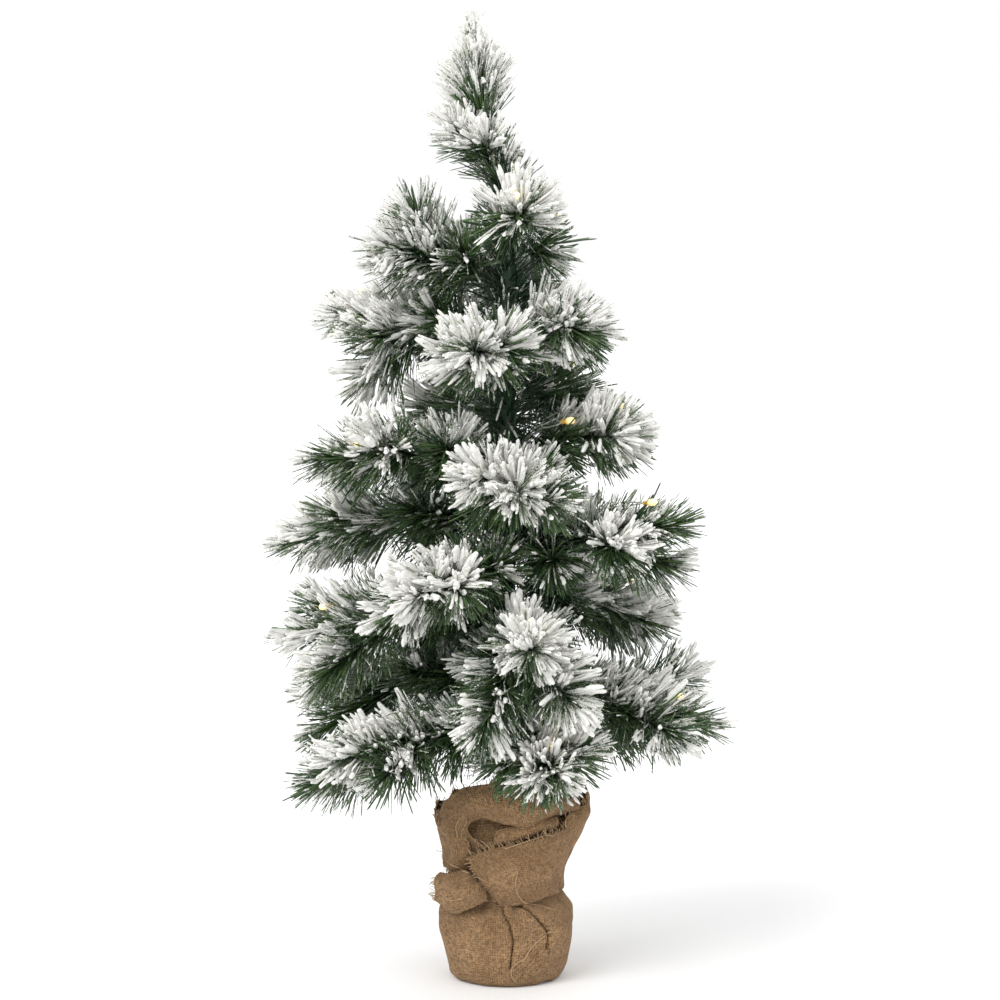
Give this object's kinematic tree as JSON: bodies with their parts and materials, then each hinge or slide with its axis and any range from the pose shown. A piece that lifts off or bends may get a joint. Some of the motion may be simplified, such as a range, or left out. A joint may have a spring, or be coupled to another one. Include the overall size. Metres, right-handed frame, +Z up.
{
  "type": "artificial tabletop tree",
  "caption": "Small artificial pine with flocked bendable wire branches, a battery light string and a weighted base wrapped in a gathered burlap sack.",
  "frame": {"origin": "middle of the sack's flat underside, on the surface it stands on", "axes": "+Z up along the trunk, -Y to the front, +X to the right seen from the front"},
  "size_m": [0.2923, 0.2699, 0.6002],
  "materials": {
    "burlap": "matte",
    "twine": "matte",
    "cup": "matte",
    "cement": "matte",
    "pole": "satin",
    "wrap": "matte",
    "needles": "matte",
    "lead": "satin",
    "lamp": "gloss",
    "box": "satin",
    "button": "satin",
    "cell": "gloss"
  },
  "bodies": {
    "root": {"burlap_sack": "burlap", "neck_tie": "twine", "base_cup": "cup", "cement_fill": "cement", "trunk_pole": "pole", "trunk_wrap": "wrap", "battery_box": "box", "battery_cell_1": "cell", "battery_cell_2": "cell", "battery_cell_3": "cell", "light_wire": "lead"},
    "branch_01": {"branch_01": "needles", "light_01": "lamp"},
    "branch_02": {"branch_02": "needles", "light_02": "lamp"},
    "branch_03": {"branch_03": "needles"},
    "branch_04": {"branch_04": "needles", "light_04": "lamp"},
    "branch_05": {"branch_05": "needles"},
    "branch_06": {"branch_06": "needles", "light_06": "lamp"},
    "branch_07": {"branch_07": "needles"},
    "branch_08": {"branch_08": "needles", "light_08": "lamp"},
    "branch_09": {"branch_09": "needles", "light_09": "lamp"},
    "branch_10": {"branch_10": "needles"},
    "branch_11": {"branch_11": "needles", "light_11": "lamp"},
    "branch_12": {"branch_12": "needles"},
    "branch_13": {"branch_13": "needles", "light_13": "lamp"},
    "branch_14": {"branch_14": "needles"},
    "branch_15": {"branch_15": "needles"},
    "branch_16": {"branch_16": "needles", "light_16": "lamp"},
    "branch_17": {"branch_17": "needles"},
    "branch_18": {"branch_18": "needles"},
    "branch_19": {"branch_19": "needles"},
    "branch_20": {"branch_20": "needles", "light_20": "lamp"},
    "branch_21": {"branch_21": "needles"},
    "branch_22": {"branch_22": "needles", "light_22": "lamp"},
    "branch_23": {"branch_23": "needles"},
    "branch_24": {"branch_24": "needles", "light_24": "lamp"},
    "branch_25": {"branch_25": "needles"},
    "leader": {"leader": "needles"},
    "battery_door": {"battery_door": "box"},
    "battery_switch": {"battery_switch": "button"}
  },
  "joints": [
    {"name": "branch_01_bend", "type": "hinge", "parent": "root", "child": "branch_01", "pos_m": [0.00216, -0.00666, 0.15262], "axis": [-0.9511, -0.309, 0], "range_deg": [-20, 20]},
    {"name": "branch_02_bend", "type": "hinge", "parent": "root", "child": "branch_02", "pos_m": [-0.00536, -0.0045, 0.15586], "axis": [-0.6428, 0.766, 0], "range_deg": [-20, 47]},
    {"name": "branch_03_bend", "type": "hinge", "parent": "root", "child": "branch_03", "pos_m": [0.00411, 0.00566, 0.16414], "axis": [0.809, -0.5878, 0], "range_deg": [-20, 30]},
    {"name": "branch_04_bend", "type": "hinge", "parent": "root", "child": "branch_04", "pos_m": [0.00693, -0.00097, 0.17711], "axis": [-0.1392, -0.9903, 0], "range_deg": [-20, 60]},
    {"name": "branch_05_bend", "type": "hinge", "parent": "root", "child": "branch_05", "pos_m": [-0.00649, 0.00262, 0.18792], "axis": [0.3746, 0.9272, 0], "range_deg": [-20, 32]},
    {"name": "branch_06_bend", "type": "hinge", "parent": "root", "child": "branch_06", "pos_m": [0.00097, -0.00693, 0.20412], "axis": [-0.9903, -0.1392, 0], "range_deg": [-15, 37]},
    {"name": "branch_07_bend", "type": "hinge", "parent": "root", "child": "branch_07", "pos_m": [-0.00169, 0.00679, 0.21817], "axis": [0.9703, 0.2419, 0], "range_deg": [-20, 32]},
    {"name": "branch_08_bend", "type": "hinge", "parent": "root", "child": "branch_08", "pos_m": [-0.00693, -0.00097, 0.23006], "axis": [-0.1392, 0.9903, 0], "range_deg": [-20, 20]},
    {"name": "branch_09_bend", "type": "hinge", "parent": "root", "child": "branch_09", "pos_m": [0.00629, 0.00307, 0.24411], "axis": [0.4384, -0.8988, 0], "range_deg": [-20, 58]},
    {"name": "branch_10_bend", "type": "hinge", "parent": "root", "child": "branch_10", "pos_m": [-0.0035, -0.00606, 0.25599], "axis": [-0.866, 0.5, 0], "range_deg": [-20, 30]},
    {"name": "branch_11_bend", "type": "hinge", "parent": "root", "child": "branch_11", "pos_m": [0.0058, -0.00391, 0.26356], "axis": [-0.5592, -0.829, 0], "range_deg": [-20, 22]},
    {"name": "branch_12_bend", "type": "hinge", "parent": "root", "child": "branch_12", "pos_m": [0.00216, 0.00666, 0.28193], "axis": [0.9511, -0.309, 0], "range_deg": [-20, 57]},
    {"name": "branch_13_bend", "type": "hinge", "parent": "root", "child": "branch_13", "pos_m": [-0.00682, 0.00158, 0.28877], "axis": [0.225, 0.9744, 0], "range_deg": [-20, 35]},
    {"name": "branch_14_bend", "type": "hinge", "parent": "root", "child": "branch_14", "pos_m": [0.00049, -0.00698, 0.3039], "axis": [-0.9976, -0.0698, 0], "range_deg": [-20, 35]},
    {"name": "branch_15_bend", "type": "hinge", "parent": "root", "child": "branch_15", "pos_m": [-0.00649, -0.00262, 0.32191], "axis": [-0.3746, 0.9272, 0], "range_deg": [-20, 37]},
    {"name": "branch_16_bend", "type": "hinge", "parent": "root", "child": "branch_16", "pos_m": [0.00685, -0.00145, 0.33272], "axis": [-0.2079, -0.9781, 0], "range_deg": [-20, 32]},
    {"name": "branch_17_bend", "type": "hinge", "parent": "root", "child": "branch_17", "pos_m": [-0.00285, 0.00639, 0.35001], "axis": [0.9135, 0.4067, 0], "range_deg": [-20, 60]},
    {"name": "branch_18_bend", "type": "hinge", "parent": "root", "child": "branch_18", "pos_m": [0.00536, 0.0045, 0.36405], "axis": [0.6428, -0.766, 0], "range_deg": [-20, 60]},
    {"name": "branch_19_bend", "type": "hinge", "parent": "root", "child": "branch_19", "pos_m": [-0.00169, -0.00679, 0.38206], "axis": [-0.9703, 0.2419, 0], "range_deg": [-20, 46]},
    {"name": "branch_20_bend", "type": "hinge", "parent": "root", "child": "branch_20", "pos_m": [-0.00693, 0.00097, 0.39611], "axis": [0.1392, 0.9903, 0], "range_deg": [-20, 25]},
    {"name": "branch_21_bend", "type": "hinge", "parent": "root", "child": "branch_21", "pos_m": [0.0058, -0.00391, 0.40476], "axis": [-0.5592, -0.829, 0], "range_deg": [-20, 45]},
    {"name": "branch_22_bend", "type": "hinge", "parent": "root", "child": "branch_22", "pos_m": [0.00049, 0.00698, 0.42601], "axis": [0.9976, -0.0698, 0], "range_deg": [-20, 42]},
    {"name": "branch_23_bend", "type": "hinge", "parent": "root", "child": "branch_23", "pos_m": [-0.00639, -0.00285, 0.43501], "axis": [-0.4067, 0.9135, 0], "range_deg": [-20, 27]},
    {"name": "branch_24_bend", "type": "hinge", "parent": "root", "child": "branch_24", "pos_m": [0.00696, 0.00073, 0.45014], "axis": [0.1045, -0.9945, 0], "range_deg": [-20, 27]},
    {"name": "branch_25_bend", "type": "hinge", "parent": "root", "child": "branch_25", "pos_m": [0.00193, -0.00673, 0.46203], "axis": [-0.9613, -0.2756, 0], "range_deg": [-20, 42]},
    {"name": "leader_bend", "type": "hinge", "parent": "root", "child": "leader", "pos_m": [0, 0, 0.4855], "axis": [0, 1, 0], "range_deg": [-25, 35]},
    {"name": "battery_door_slide", "type": "slide", "parent": "root", "child": "battery_door", "axis": [0, 0, 1], "range_m": [0, 0.045]},
    {"name": "battery_switch_slide", "type": "slide", "parent": "root", "child": "battery_switch", "axis": [1, 0, 0], "range_m": [0, 0.004]}
  ]
}
